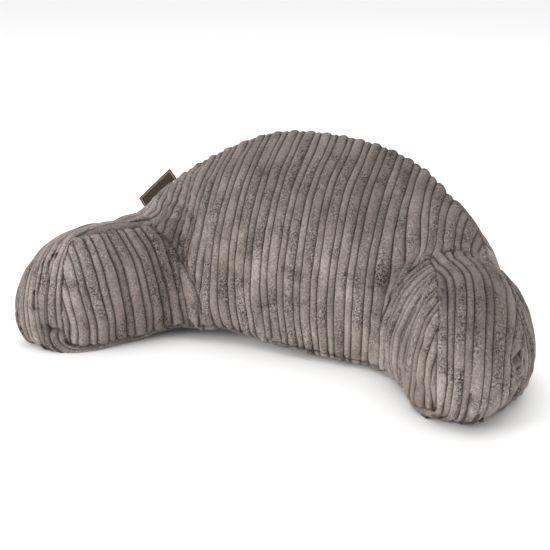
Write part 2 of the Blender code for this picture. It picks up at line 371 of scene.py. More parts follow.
def upright_panel(lower, upper, flat_of, swell, facing, crown, swing=0, fan=0, gather=0):
    """A panel whose ribs stand in planes of constant X, between a lower and an upper chain.

    swing and fan say how far towards +X each rib's foot turns, and how far its whole length leans. gather
    is how much more cloth than its width the panel holds up to each place.
    """
    low_line, high_line = by_x(lower), by_x(upper)
    heads_flat = feet + gather
    feet_flat = heads_flat - swing - fan

    def surface(flat):
        """Places in space of flat pattern points: foot to head of their ribs, with the crown."""
        x = np.interp(flat[:, 0], heads_flat, feet)
        foot_x = np.interp(flat[:, 0], feet_flat, feet)
        turn = np.interp(foot_x, feet, swing + 0 * feet)
        foot = np.stack([np.interp(foot_x, low_line[:, 0], low_line[:, k]) for k in range(3)], axis=1)
        head = np.stack([np.interp(x, high_line[:, 0], high_line[:, k]) for k in range(3)], axis=1)
        start, end = flat_of(foot)[:, 1], flat_of(head)[:, 1]
        share = np.clip((flat[:, 1] - start) / np.maximum(end - start, 1e-6), 0, 1)[:, None]
        length = np.linalg.norm(head - foot, axis=1)[:, None]
        places = foot + (head - foot) * share + facing * length * swell * crown(share)
        places[:, :1] += turn[:, None] * ((1 - share) ** FOOT_TURN - (1 - share))
        return places

    rim = lower + upper[::-1][1:-1]
    rim_flat = flat_of(np.array([skin_points[n] for n in rim]))
    rim_flat[: len(lower), 0] = np.interp(rim_flat[: len(lower), 0], feet, feet_flat)
    rim_flat[len(lower) :, 0] = np.interp(rim_flat[len(lower) :, 0], feet, heads_flat)
    return fill_panel(rim, rim_flat, BACK_PHASE, surface, BACK_HEART)


print("arched seam:", [round(v) for v in np.ptp(by_x(seams["arch"]), axis=0)], "mm in X, Y and Z")

# %% [markdown]
# On the front the ribs' feet turn towards +X where the seam hangs free, the ribs lean on the +X
# shoulder, and on the -X one more cloth is held than the panel is wide. The rear has none of this.

# %% Front and rear of the back
LEAN_ANGLE = atan(LEAN)
FRONT_SWELL = 0.118  # height of the crown as a share of a rib's length
REAR_SWELL = 0.13
FOOT_SWING = 11
SHOULDER_FAN = 17
SHOULDER_GATHER = 32
FRONT_FACING = np.array((0, -cos(LEAN_ANGLE), sin(LEAN_ANGLE)))
REAR_FACING = np.array((0, 0.95, 0.31))


def front_flat(p):
    """Flat pattern of the front: X, and the distance up along the leaning back."""
    return np.stack([p[:, 0], p[:, 2] * cos(LEAN_ANGLE) + p[:, 1] * sin(LEAN_ANGLE)], axis=1)


def rear_flat(p):
    """Flat pattern of the rear panel: across, and up."""
    return np.stack([p[:, 0], p[:, 2]], axis=1)


def between(x, start, full, fading, end):
    """0 outside start..end, 1 inside full..fading, and smooth steps between them."""
    return soft_step((x - start) / (full - start)) * (1 - soft_step((x - fading) / (end - fading)))


def full_crown(rise, fall):
    """A crown from seam to seam, scaled so that its highest point is 1."""
    peak = rise / (rise + fall)
    top = peak**rise * (1 - peak) ** fall
    return lambda share: share**rise * (1 - share) ** fall / top


front_swing = FOOT_SWING * between(feet, -135, -85, 0, 130)
front_fan = SHOULDER_FAN * between(feet, 120, 220, 235, ARCH_HALF)
front_gather = -SHOULDER_GATHER * np.clip((-125 - feet) / (ARCH_HALF - 125), 0, 2) ** 1.6
base_flat_x = feet - front_swing - front_fan + front_gather
front_low = chain(("left", "-root_top"), ("left", "-root_side"), "front_base", ("right", "root_side"),
                  ("right", "root_top"))
rear_high = chain(("left", "rear_side"), "arch", ("right", "-rear_side"))
count = upright_panel(front_low, seams["arch"], front_flat, FRONT_SWELL, FRONT_FACING,
                      full_crown(0.6, 0.5), front_swing, front_fan, front_gather)
print("front panel:", count, "vertices")
count = upright_panel(seams["rear_base"], rear_high, rear_flat, REAR_SWELL, REAR_FACING,
                      full_crown(0.5, 0.5))
print("rear panel:", count, "vertices")

# %% [markdown]
# ## The underside
#
# The base panel lies on the bed, so it is flat except where it rolls up to its seams. Its ribs run
# front to back and carry on from the front panel's. Near a seam the cloth leaves the bed along a
# soft quarter turn.

# %% Base panel
ROLL = 11.0
ROLL_SHARPNESS = 1.5
BASE_ROW_STEP = 7.0


def nearest_height(spots, loop):
    """The height of a seam loop at the given places on it."""
    gap = np.full(len(spots), np.inf)
    height = np.zeros(len(spots))
    for x, y, z in loop:
        away = np.hypot(spots[:, 0] - x, spots[:, 1] - y)
        closer = away < gap
        gap[closer] = away[closer]
        height[closer] = z
    return height


def base_surface(flat):
    """Places of the base panel: on the bed, and rolled up to the seams round it."""
    loop = np.vstack([base_places, base_places[:1]])
    ground = np.stack([np.interp(flat[:, 0], base_flat_x, feet), flat[:, 1]], axis=1)
    gap, nearest = distance_to_line(ground, loop[:, :2])
    rolled = nearest_height(nearest, loop) * np.exp(-((gap / ROLL) ** ROLL_SHARPNESS))
    return np.column_stack([ground, rolled])


base_rim = chain("front_base", ("right", "under"), "-rear_base", ("left", "-under"))[:-1]
base_places = np.array([skin_points[n] for n in base_rim])
base_flat = np.stack([np.interp(base_places[:, 0], feet, base_flat_x), base_places[:, 1]], axis=1)
count = fill_panel(base_rim, base_flat, BACK_PHASE, base_surface, BACK_HEART, row_step=BASE_ROW_STEP)
print("base panel:", count, "vertices")

# %% [markdown]
# ## The solid as a guide
#
# The frame already holds the pillow's true form as a solid. The cloth must lie on it, so a ray along a
# point's normal tells how far that point has to move.

# %% Distance to the solid
SHIFT = np.array((1, -34, 0))  # the middle of the front base seam in the frame, mm
SLUMP = 0.026  # at X = APEX_HEIGHT the pillow stands this share taller than drawn, and at minus that lower
REACH = 30
FACING_SAME_WAY = 0.3
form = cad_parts["cushion"].data
form_faces = [tuple(p.vertices) for p in form.polygons]
solid = BVHTree.FromPolygons([v.co / MM for v in form.vertices], form_faces)
print("the guide has", len(form_faces), "faces")


def settle(points):
    """Points of the sewing lines moved to the frame's place, standing a little taller on the +X side."""
    points = np.array(points, float)
    points[..., 2] *= 1 + SLUMP * points[..., 0] / APEX_HEIGHT
    return points + SHIFT


def gap_to_solid(points, normal):
    """How far each point is from the frame's solid along its own normal, NaN where nothing is in reach."""
    gaps = np.full(len(points), np.nan)
    for k, (p, n) in enumerate(zip(points, normal)):
        p, n = Vector(p), Vector(n)
        for way in (1, -1):
            spot, facing, _, distance = solid.ray_cast(p - n * way * 0.01, n * way, REACH)
            if spot is not None and facing.dot(n) > FACING_SAME_WAY and not distance > abs(gaps[k]):
                gaps[k] = way * distance
    return gaps


# %% [markdown]
# ## Arm panels
#
# The arm's three cloths have four sides each, so a Coons patch spans them: it blends the four seams
# into one smooth sheet. The crown pushes the sheet outwards. To put vertices along the ribs, the flat
# pattern is turned back into patch coordinates by Newton's method, for all vertices at once.

# %% A patch between four seams
NORMAL_REACH = 0.05  # shares of the patch, as the next two are
NEWTON_REACH = 1e-3
INSIDE = (0.002, 0.998)
FIRST_GUESSES = 45
NEWTON_ROUNDS = 10
BATCH = 1500
MOST_MISS = 1.0  # mm in the flat pattern


class Patch:
    """A sheet over four chains of seams, pushed out by a crown, with a flat pattern."""

    def __init__(self, low, high, left, right, crown, heart, flatten):
        self.sides = []
        for side in (low, high, left, right):
            numbers, knots = [], []
            for k, run in enumerate(side):
                places = np.array([skin_points[n] for n in run])
                steps = np.append(0, np.cumsum(np.linalg.norm(np.diff(places, axis=0), axis=1)))
                first = 1 if numbers else 0
                numbers += run[first:]
                knots += list((k + steps / steps[-1])[first:] / len(side))
            self.sides.append((numbers, np.array(knots), np.array([skin_points[n] for n in numbers])))
        self.crown = crown
        self.heart = heart
        self.flatten = flatten

    def side(self, k, share):
        """Places along one of the four sides."""
        _, knots, places = self.sides[k]
        return np.stack([np.interp(share, knots, places[:, c]) for c in range(3)], axis=-1)

    def sheet(self, u, v):
        """Places on the smooth sheet between the four sides."""
        u, v = np.clip(u, 0, 1), np.clip(v, 0, 1)
        a, b = u[..., None], v[..., None]
        low, high, left, right = self.side(0, u), self.side(1, u), self.side(2, v), self.side(3, v)
        zero, one = np.zeros(1), np.ones(1)
        near = self.side(0, zero) * (1 - b) + self.side(1, zero) * b
        far = self.side(0, one) * (1 - b) + self.side(1, one) * b
        return low * (1 - b) + high * b + left * (1 - a) + right * a - near * (1 - a) - far * a

    def place(self, u, v):
        """Places on the sheet once its crown has pushed it out."""
        h = NORMAL_REACH
        across = self.sheet(u + h, v) - self.sheet(u - h, v)
        along = self.sheet(u, v + h) - self.sheet(u, v - h)
        outward = np.cross(across, along)
        outward /= np.linalg.norm(outward, axis=-1, keepdims=True)
        flat = self.sheet(u, v)
        turned = (outward * (flat - self.heart)).sum(axis=-1, keepdims=True) < 0
        return flat + np.where(turned, -outward, outward) * self.crown(u, v)[..., None]

    def surface(self, flat):
        """Places in space of flat pattern points."""
        grid = np.linspace(0.01, 0.99, FIRST_GUESSES)
        u0, v0 = [g.ravel() for g in np.meshgrid(grid, grid)]
        known = self.flatten(self, u0, v0)
        u, v = np.empty(len(flat)), np.empty(len(flat))
        for k in range(0, len(flat), BATCH):
            nearest = ((flat[k : k + BATCH, None] - known) ** 2).sum(axis=2).argmin(axis=1)
            u[k : k + BATCH], v[k : k + BATCH] = u0[nearest], v0[nearest]
        h = NEWTON_REACH
        for _ in range(NEWTON_ROUNDS):
            miss = self.flatten(self, u, v) - flat
            du = (self.flatten(self, u + h, v) - self.flatten(self, u - h, v)) / (2 * h)
            dv = (self.flatten(self, u, v + h) - self.flatten(self, u, v - h)) / (2 * h)
            area = du[:, 0] * dv[:, 1] - du[:, 1] * dv[:, 0]
            area = np.where(np.abs(area) < 1e-6, 1e-6, area)
            u = np.clip(u - (miss[:, 0] * dv[:, 1] - miss[:, 1] * dv[:, 0]) / area, *INSIDE)
            v = np.clip(v - (miss[:, 1] * du[:, 0] - miss[:, 0] * du[:, 1]) / area, *INSIDE)
        places = self.place(u, v)
        miss = np.linalg.norm(self.flatten(self, u, v) - flat, axis=1)
        places[miss > MOST_MISS] = np.nan
        return places

    def rim(self):
        """Seam vertices round the patch in order, with their flat places."""
        (a, ka, _), (b, kb, _), (c, kc, _), (d, kd, _) = self.sides
        numbers = a[:-1] + d[:-1] + b[::-1][:-1] + c[::-1][:-1]
        u = np.concatenate([ka[:-1], np.ones(len(kd) - 1), kb[::-1][:-1], np.zeros(len(kc) - 1)])
        v = np.concatenate([np.zeros(len(ka) - 1), kd[:-1], np.ones(len(kb) - 1), kc[::-1][:-1]])
        return numbers, self.flatten(self, u, v)


print("a patch is solved in", NEWTON_ROUNDS, "rounds from the nearest of", FIRST_GUESSES**2, "guesses")

# %% [markdown]
# The inner face of each arm carries ribs that lean from the front of the arm's top down to the root.
# The strip is the long piece that goes over the arm, down its end and back under it. Its ribs run
# along its inner seam, and its outer seam cuts them off one by one. So the flat pattern of a strip
# says how far each point is from the inner seam, and how far along it.

# %% Flat patterns of the arms
INNER_FORWARD = (0.704, 0.71)  # a face's level direction forward: shares of X and of -Y
OUTER_FORWARD = (0.1, 0.995)
SWEEP_RUN = 0.2
STRIP_GATHER = {  # cloth held over its width, cloth held along its length, and a sweep at the root, mm
    "left": ([(0, 1), (1, 1)], [(0, 1), (0.15, 1), (0.27, 1.15), (0.4, 1.38), (1, 1.38)], 0),
    "right": ([(0, 1.09), (0.5, 1.09), (0.7, 0.99), (0.85, 0.9), (1, 0.85)], [(0, 1), (1, 1)], 20),
}
KNOTS = 81


def fade(distance, width):
    """1 at no distance, about a third at one width, and almost nothing at two."""
    return np.exp(-((distance / width) ** 2))


def ahead_of(places, side, forward):
    """How far forward of the base corner each place lies."""
    return (places[..., 0] * side - CORNERS["base"][0]) * forward[0] - places[..., 1] * forward[1]


def arm_flat(side, forward, lean=0, bend=None, follow=None):
    """Flat pattern of an arm's face: distance forward, and height. Ribs lean, and near a bend follow it."""
    def flatten(patch, u, v):
        """Flat places of patch coordinates."""
        p = patch.sheet(u, v)
        ahead, up = ahead_of(p, side, forward), p[..., 2]
        back = up * lean
        if bend is not None:
            near = fade(np.maximum(ahead, 0), follow)
            back = np.interp(up, bend[:, 1], bend[:, 0]) * near + back * (1 - near)
        return np.stack([ahead - back, up], axis=-1)
    return flatten


def strip_flat(patch, u, v):
    """Flat pattern of a strip: distance from its inner seam, and distance along it."""
    a, b = np.clip(u, 0, 1) * (KNOTS - 1), np.clip(v, 0, 1) * (KNOTS - 1)
    i, j = np.minimum(a.astype(int), KNOTS - 2), np.minimum(b.astype(int), KNOTS - 2)
    a, b, table = a - i, b - j, patch.across
    share = ((table[i, j] * (1 - a) + table[i + 1, j] * a) * (1 - b)
             + (table[i, j + 1] * (1 - a) + table[i + 1, j + 1] * a) * b)
    over_share, over_run, sweep = patch.gather
    held = np.interp(share, *np.array(over_share, float).T) * np.interp(u, *np.array(over_run, float).T)
    across = share * np.interp(u, patch.knots, patch.width) * held + sweep * fade(u, SWEEP_RUN)
    return np.stack([across, np.interp(u, patch.knots, patch.length)], axis=-1)


splay = [round(np.degrees(np.arctan2(*forward))) for forward in (INNER_FORWARD, OUTER_FORWARD)]
print("inner and outer faces run", *splay, "degrees outwards from straight ahead")

# %% [markdown]
# A real strip is cut to fit the stuffed arm, and so is this one. A grid of it is laid on the solid and
# smoothed, and then measured: how wide it is at each place along the arm, how long it is in the middle,
# and how much of its width lies between its inner seam and each point.

# %% Measure a strip
GUIDE_BLUR = 12
RUN_MEAN = 15  # knots that a running mean takes together


def blurred(table, times):
    """A table averaged with its neighbours along both axes."""
    for _ in range(times):
        wide = np.pad(table, 1, mode="edge")
        table = (wide[:-2, 1:-1] + wide[2:, 1:-1] + wide[1:-1, :-2] + wide[1:-1, 2:] + 4 * table) / 8
    return table


def soft_weights(width):
    """Weights of a running mean that fade towards its ends."""
    return np.hanning(width) / np.hanning(width).sum()


def measure_strip(patch):
    """Lays a strip on the solid, and keeps tables of its width, its length and the share of width passed."""
    patch.knots = np.linspace(0, 1, KNOTS)
    u, v = np.meshgrid(patch.knots, patch.knots, indexing="ij")
    places = patch.place(u, v)
    outward = np.cross(np.gradient(places, axis=0), np.gradient(places, axis=1))
    outward /= np.maximum(np.linalg.norm(outward, axis=2, keepdims=True), 1e-9)
    outward *= np.sign((outward * (places - patch.heart)).sum(axis=2, keepdims=True))
    gap = gap_to_solid(settle(places).reshape(-1, 3), outward.reshape(-1, 3)).reshape(KNOTS, KNOTS)
    weight = blurred((~np.isnan(gap)).astype(float), GUIDE_BLUR)
    gap = blurred(np.nan_to_num(gap), GUIDE_BLUR) / np.maximum(weight, 1e-6)
    places = places + outward * (gap * np.sqrt(np.clip(4 * v * (1 - v), 0, 1)))[..., None]
    passed = np.cumsum(np.linalg.norm(np.diff(places, axis=1), axis=2), axis=1)
    width = passed[:, -1]
    passed = np.concatenate([np.zeros((KNOTS, 1)), passed / width[:, None]], axis=1)
    padding = ((RUN_MEAN // 2, RUN_MEAN // 2), (0, 0))
    padded = np.pad(np.column_stack([passed, width]), padding, mode="edge")
    weights = soft_weights(RUN_MEAN)
    smooth = np.stack([np.convolve(column, weights, mode="valid") for column in padded.T], axis=1)
    patch.across, patch.width = smooth[:, :-1], smooth[:, -1]
    middle = places[:, KNOTS // 2]
    patch.length = np.append(0, np.cumsum(np.linalg.norm(np.diff(middle, axis=0), axis=1)))
    print("strip width, mm:", patch.width[::16].round())


# %% [markdown]
# The end of the arm is blunt, so the strip's crown is high where it turns over the top and down the
# end. On both arms the ribs of the inner face follow the bend of the root where they are near it.

# %% Cloth of both arms
ARM_HEART = np.array((300, -20, 75))
ARM_ROUND = 0.8  # how much the bend of the cloth rounds the ribs of an arm
INNER_CROWN = 22
OUTER_CROWN = 14
INNER_LEAN = 0.21  # how far a rib of the inner face leans back for each millimetre up
ROOT_FOLLOW = {"left": 60, "right": 140}  # mm from the root over which its bend is followed
INNER_PHASE = 3.0
OUTER_PHASE = 0.0
STRIP_PHASE = {"left": -WIDE, "right": 0.0}
STRIP_CROWN = {  # share of the way round the arm, height of the crown in mm
    "left": [(0, 0), (0.2, 0), (0.28, 5), (0.36, 28), (0.5, 60), (0.6, 62), (0.68, 46), (0.78, 6), (1, 0)],
    "right": [(0, 4), (0.1, 9), (0.3, 12), (0.42, 30), (0.5, 50), (0.6, 52), (0.68, 38), (0.78, 6), (1, 0)],
}
CROWN_MEAN = 21


def rounded(height):
    """A crown that is highest in the middle of a patch and falls to all four sides."""
    return lambda u, v: height * np.sqrt(np.clip(16 * u * (1 - u) * v * (1 - v), 0, 1))


def strip_crown(table):
    """A crown whose height changes softly along the strip, and that falls to its two long seams."""
    run = np.linspace(-0.1, 1.1, 241)
    height = np.convolve(np.interp(run, *np.array(table, float).T), soft_weights(CROWN_MEAN), mode="same")
    return lambda u, v: np.interp(u, run, height) * np.clip(4 * v * (1 - v), 0, 1) ** 0.6


root = np.array([skin_points[n] for n in seams["right", "root_side"]])
root_bend = np.stack([ahead_of(root, 1, INNER_FORWARD), root[:, 2]], axis=1)
for side, hand in ((1, "right"), (-1, "left")):
    heart = ARM_HEART * (side, 1, 1)
    run = {name: seams[hand, name] for name in LINES}
    inner = Patch([run["ridge_low"][::-1]], [run["ridge_top"]], [run["root_side"]],
                  [run["ridge_end"][::-1]], rounded(INNER_CROWN), heart,
                  arm_flat(side, INNER_FORWARD, INNER_LEAN, root_bend, ROOT_FOLLOW[hand]))
    outer = Patch([run["outer_under"][::-1]], [run["outer_over"]], [run["rear_side"]],
                  [run["outer_end"][::-1]], rounded(OUTER_CROWN), heart, arm_flat(side, OUTER_FORWARD))
    strip = Patch([run["ridge_top"], run["ridge_end"], run["ridge_low"]],
                  [run["outer_over"], run["outer_end"], run["outer_under"]],
                  [run["root_top"]], [run["under"]], strip_crown(STRIP_CROWN[hand]), heart, strip_flat)
    strip.gather = STRIP_GATHER[hand]
    measure_strip(strip)
    for name, patch, phase in (("inner", inner, INNER_PHASE), ("outer", outer, OUTER_PHASE),
                               ("strip", strip, STRIP_PHASE[hand])):
        rim, rim_flat = patch.rim()
        count = fill_panel(rim, rim_flat, phase, patch.surface, heart, ARM_ROUND)
        print(hand, name, "panel:", count, "vertices")

# %% [markdown]
# ## Settling the skin
#
# The panels now make one closed skin. The patches still have faint kinks where their seams turn
# corners, so each vertex is eased towards its neighbours, along its own normal only: that keeps the
# columns of vertices exactly on their ribs.

# %% Join and ease
skin = np.array(skin_points, float)
triangles = np.array(faces)
links = np.vstack([triangles[:, [0, 1]], triangles[:, [1, 2]], triangles[:, [2, 0]]])
cloth = {name: np.array(values) for name, values in cloth.items()}
on_seam = np.arange(len(skin)) < seam_count


def normals_of(points):
    """Outward normals of the skin's vertices, each weighted by its faces' areas."""
    a, b, c = (points[triangles[:, k]] for k in range(3))
    flat = np.cross(b - a, c - a)
    total = np.stack([np.bincount(triangles.ravel(), np.repeat(flat[:, k], 3), len(points))
                      for k in range(3)], axis=1)
    return total / np.maximum(np.linalg.norm(total, axis=1, keepdims=True), 1e-12)


def neighbour_mean(places, links):
    """The middle of each vertex's neighbours. The links name every edge both ways."""
    count = np.bincount(links[:, 0], minlength=len(places))[:, None]
    total = [np.bincount(links[:, 0], places[links[:, 1], k], len(places)) for k in range(3)]
    return np.stack(total, axis=1) / np.maximum(count, 1)


def ease(points, times, hold):
    """Moves vertices that aren't held towards the middle of their neighbours, along their normals."""
    points = points.copy()
    for _ in range(times):
        normal = normals_of(points)
        move = ((neighbour_mean(points, links) - points) * normal).sum(axis=1, keepdims=True) * normal * 0.5
        points += np.where(hold[:, None], 0, move)
    return points


def comb(points, times):
    """Straightens the kinks in every column of vertices, whose two ends stay."""
    before, after = np.full((2, len(points)), -1)
    for a, b in rib_steps:
        after[a], before[b] = b, a
    inner = np.flatnonzero((before >= 0) & (after >= 0))
    step_back = np.linalg.norm(points[inner] - points[before[inner]], axis=1)
    step_on = np.linalg.norm(points[after[inner]] - points[inner], axis=1)
    share = (step_back / (step_back + step_on))[:, None]
    points = points.copy()
    for _ in range(times):
        a, b, here = points[before[inner]], points[after[inner]], points[inner]
        points[inner] += (a * (1 - share) + b * share - here) * 0.5
    return points


skin = settle(ease(comb(skin, 30), 14, on_seam))
print(len(skin), "vertices,", len(triangles), "triangles")

# %% [markdown]
# Then the skin is moved onto the solid. The gap is smoothed before it is closed, and where no ray finds
# the solid it is filled in from the neighbours, so the small faces of the solid leave no mark.

# %% Onto the solid
GAP_SMOOTHING = 40
SEAM_KEEPS = 10  # mm from a seam over which the move grows


def spread(values, known, times):
    """Averages a value over the skin's neighbours, filling in where it isn't known."""
    values = np.where(known, values, 0.0)
    weight = known.astype(float)
    for _ in range(times):
        values = values + np.bincount(links[:, 0], values[links[:, 1]], len(values))
        weight = weight + np.bincount(links[:, 0], weight[links[:, 1]], len(weight))
        scale = np.maximum(weight, 1e-9)
        values, weight = values / scale, np.minimum(weight, 1.0)
        values = np.where(weight > 0, values * weight, 0)
    return values


normal = normals_of(skin)
gap = gap_to_solid(skin, normal)
known = ~np.isnan(gap)
print("skin to solid, mm: mean", round(np.nanmean(gap), 2), "largest", round(np.nanmax(np.abs(gap)), 1),
      "out of reach", int((~known).sum()))
smooth_gap = spread(np.nan_to_num(gap), known, GAP_SMOOTHING)
skin += normal * (smooth_gap * (1 - np.exp(-cloth["edge"] / SEAM_KEEPS)))[:, None]
skin[:, 2] = np.maximum(skin[:, 2], 0)
stay = set(seams["arch"]) | set(seams["front_base"]) | set(seams["rear_base"])
stay |= {n for hand in ("left", "right") for name in ("under", "outer_under") for n in seams[hand, name]}
skin = ease(skin, 30, np.isin(np.arange(len(skin)), list(stay)))
skin[:, 2] = np.maximum(skin[:, 2], 0)

# %% [markdown]
# Stuffing sags. Where the pillow stands on its arms it spreads or rolls under, the arm's top is pulled
# a little flatter, and the front seam of the base hangs clear of the bed on one side. Each of these is
# one soft push: a centre, how far it reaches along each axis, and where it moves the cloth.

# %% Sag
PUSHES = [  # centre, reach, move, all in mm
    ((-258, -143, 4), (62, 46, 26), (8, -19, -3)),
    ((338, -135, 5), (48, 44, 24), (-8, 15, 3)),
    ((356, -100, 10), (22, 55, 34), (-9, 4, 2)),
    ((-285, -30, 166), (44, 62, 40), (0, 0, -10)),
    ((-238, -82, 162), (24, 50, 26), (0, 0, 4)),
    ((-264, -140, 156), (30, 36, 30), (0, -2, 7)),
    ((-115, -30, 14), (65, 30, 22), (0, 0, 8)),
    ((-120, -6, 0), (58, 24, 12), (0, 0, 12)),
    ((-122, -36, 2), (44, 24, 13), (0, 18, 5)),
    ((35, -38, 5), (95, 18, 10), (0, -11, 0)),
    ((105, -32, 14), (75, 30, 18), (0, -3, -6)),
    ((222, -104, 98), (44, 44, 58), (15, 15, 0)),
    ((248, -128, 14), (36, 36, 26), (-8, -5, 0)),
    ((206, 66, 236), (28, 50, 30), (0, 0, -5)),
    ((286, 24, 164), (22, 34, 18), (-6, 0, -4)),
    ((-69, 84, 285), (60, 50, 30), (0, 0, 4)),
]


def within(points, centre, reach):
    """1 at a centre, fading along each axis at its own reach."""
    return fade(np.linalg.norm((points - centre) / reach, axis=1), 1)


for centre, reach, move in PUSHES:
    skin += np.array(move) * within(skin, centre, reach)[:, None]
skin[:, 2] = np.maximum(skin[:, 2], 0)
farthest = max(np.linalg.norm(move) for _, _, move in PUSHES)
print(len(PUSHES), "soft pushes, the farthest", round(farthest), "mm")

# %% [markdown]
# ## Let the cloth find its folds
#
# Stuffing pushes cloth out while the seams hold it, and the cover is cut a little larger than the
# filling, so it buckles into soft folds that run into the seams. That is what a cloth simulation is
# good at. It runs on a coarse copy of the skin, blown up from inside, with the seams and the flattened
# underside held. Only the folds are taken over: the slow swelling is smoothed away, so the pillow
# keeps its form.

# %% A coarse copy
SIM_VOXEL = 6.5
SEAM_HOLD = 9  # mm from a seam over which the copy is held
BED_HOLD = 6


def tree_of(points):
    """A search tree that finds the nearest of many points."""
    tree = KDTree(len(points))
    for k, point in enumerate(points):
        tree.insert(point, k)
    tree.balance()
    return tree


def coarse_copy(points):
    """A voxel copy of the skin, and the places of its vertices. Its group held pins seams and underside."""
    coarse_mesh = bpy.data.meshes.new("pattern_copy")
    coarse_mesh.from_pydata((points * MM).tolist(), [], triangles.tolist())
    coarse = bpy.data.objects.new("pattern_copy", coarse_mesh)
    bpy.context.scene.collection.objects.link(coarse)
    bpy.context.view_layer.objects.active = coarse
    remesh = coarse.modifiers.new("voxels", "REMESH")
    remesh.mode = "VOXEL"
    remesh.voxel_size = SIM_VOXEL * MM
    bpy.ops.object.modifier_apply(modifier="voxels")
    start = np.array([v.co for v in coarse.data.vertices]) / MM
    seam_tree = tree_of(points[:seam_count])
    held = coarse.vertex_groups.new(name="held")
    for k, place in enumerate(start):
        hold = max(1 - seam_tree.find(place)[2] / SEAM_HOLD, 1 - place[2] / BED_HOLD, 0)
        if hold > 0:
            held.add([k], min(1, hold), "REPLACE")
    return coarse, start


print("voxels of", SIM_VOXEL, "mm, with the seams held", SEAM_HOLD, "mm wide")

# %% [markdown]
# Twenty frames are enough for the folds to settle. What a whole neighbourhood of the copy has moved is
# swelling, and what is left of each vertex's own movement is its part in a fold. The fine skin then
# takes each fold from the four nearest places of the copy.

# %% Cloth simulation
SIM_FRAMES = 20
FABRIC = {
    "quality": 5, "mass": 0.3, "tension_stiffness": 18, "compression_stiffness": 18, "shear_stiffness": 8,
    "bending_stiffness": 1.2, "use_pressure": True, "uniform_pressure_force": 4,
    "shrink_min": -0.05,  # the cover is cut 5 percent larger than its filling
    "vertex_group_mass": "held",
}
SWELL_ROUNDS = 60
FOLD_GAIN = 0.6
FOLD_CAP = 9.0


def simulate_folds(points):
    """The folds' movement at each point of the skin, in millimetres."""
    coarse, start = coarse_copy(points)
    fabric = coarse.modifiers.new("fabric", "CLOTH")
    for name, value in FABRIC.items():
        setattr(fabric.settings, name, value)
    fabric.settings.effector_weights.gravity = 0
    fabric.collision_settings.use_collision = False
    fabric.collision_settings.use_self_collision = False
    fabric.point_cache.frame_start = 1
    fabric.point_cache.frame_end = SIM_FRAMES
    for number in range(1, SIM_FRAMES + 1):
        bpy.context.scene.frame_set(number)
    evaluated = coarse.evaluated_get(bpy.context.evaluated_depsgraph_get())
    moved = np.array([v.co for v in evaluated.data.vertices]) / MM - start
    bpy.context.scene.frame_set(1)
    edges = np.array([tuple(e.vertices) for e in coarse.data.edges])
    swelling = moved
    for _ in range(SWELL_ROUNDS):
        swelling = neighbour_mean(swelling, np.vstack([edges, edges[:, ::-1]]))
    folds = (moved - swelling) * FOLD_GAIN
    size = np.linalg.norm(folds, axis=1, keepdims=True)
    folds *= np.minimum(1, FOLD_CAP / np.maximum(size, 1e-9))
    print("cloth:", len(start), "vertices, swelling up to", round(np.linalg.norm(moved, axis=1).max(), 1),
          "mm, folds: mean", round(size.mean(), 2), "largest", round(size.max(), 1))
    coarse_tree = tree_of(start)
    result = np.zeros_like(points)
    for k, point in enumerate(points):
        near = coarse_tree.find_n(point, 4)
        weights = np.array([1 / (distance + 0.5) for _, _, distance in near])
        result[k] = weights @ folds[[n for _, n, _ in near]] / weights.sum()
    bpy.data.objects.remove(coarse)
    return result


began = time.time()
skin += simulate_folds(skin) * (1 - np.exp(-cloth["edge"] / 5))[:, None]
print("simulated in", round(time.time() - began, 1), "s")

# %% [markdown]
# ## Wander
#
# Stuffed cloth is never even: its ribs wander a little from side to side. Smooth random waves move the
# cloth, long ones more than short ones, and the seams keep it still.

# %% Wander
SEAM_CALM = 14  # mm from a seam over which the cloth begins to wander


def waves(points, size, seed):
    """A smooth random value between about -1 and 1 at each point, its features about size mm across."""
    dice = np.random.default_rng(seed)
    total = np.zeros(len(points))
    for _ in range(10):
        heading = dice.normal(size=3)
        heading *= 2 * np.pi / (size * dice.uniform(0.7, 1.5)) / np.linalg.norm(heading)
        total += np.sin(points @ heading + dice.uniform(0, 2 * np.pi))
    return total / sqrt(10)


away = 1 - np.exp(-cloth["edge"] / SEAM_CALM)
for size, reach, seed in ((110, 1.1, 3), (30, 0.2, 11)):
    drift = np.stack([waves(skin, size, seed + k) for k in range(3)], axis=1)
    skin += drift * reach * away[:, None]
    print("waves", size, "mm long move the cloth up to", round(np.abs(drift).max() * reach, 1), "mm")

# %% [markdown]
# ## Creases
#
# Some folds come from handling, not from the filling: a pucker where the seams of the -X arm meet, a
# sharp fold along the top of that arm, two wavy ones beside the seam of the +X arm. Each is a short path
# laid on the cloth, that is pressed in, or with a negative depth pushed out. A pressed crease also gets
# painted shade in its colour, the more the deeper it is. Between the back and each arm the stuffing fills
# the corner.

# %% Creases
CREASES = [  # path in mm, depth, half width
    ([(-299, -171, 35), (-286, -167, 33), (-275, -166, 29)], 7.0, 3.6),
    ([(-263, -134, 163), (-250, -105, 165), (-235, -68, 163), (-216, -39, 162)], 7.0, 3.4),
    ([(-263, -116, 165), (-252, -92, 168), (-238, -58, 167), (-220, -28, 166)], -4.0, 6),
    ([(360, -94, 89), (363, -112, 81), (364, -105, 67), (359, -76, 43)], 7.0, 3.4),
    ([(361, -106, 90), (364, -123, 76), (366, -121, 59)], 5.0, 2.8),
    ([(268, -149, 154), (276, -160, 135)], 3.0, 6),
    ([(277, -152, 24), (277, -148, 12)], 5.0, 4),
]
FULL_SHADE_DEPTH = 8  # a crease this deep gets the full painted shade
ROOT_FILL = 8.0
ROOT_FILL_WIDTH = 26.0
normal = normals_of(skin)
# painted shade in the colour, 0 to 1: pressed creases, pressed seams and the +X arm's inner face
painted_shade = np.zeros(len(skin))
for path, depth, width in CREASES:
    nearest = [np.linalg.norm(skin - point, axis=1).argmin() for point in smooth_line(path)]
    inside = fade(distance_to_line(skin, skin[nearest])[0], width)
    skin -= normal * (depth * inside)[:, None]
    # painted shade in the crease
    painted_shade = np.maximum(painted_shade, inside * min(depth / FULL_SHADE_DEPTH, 1))
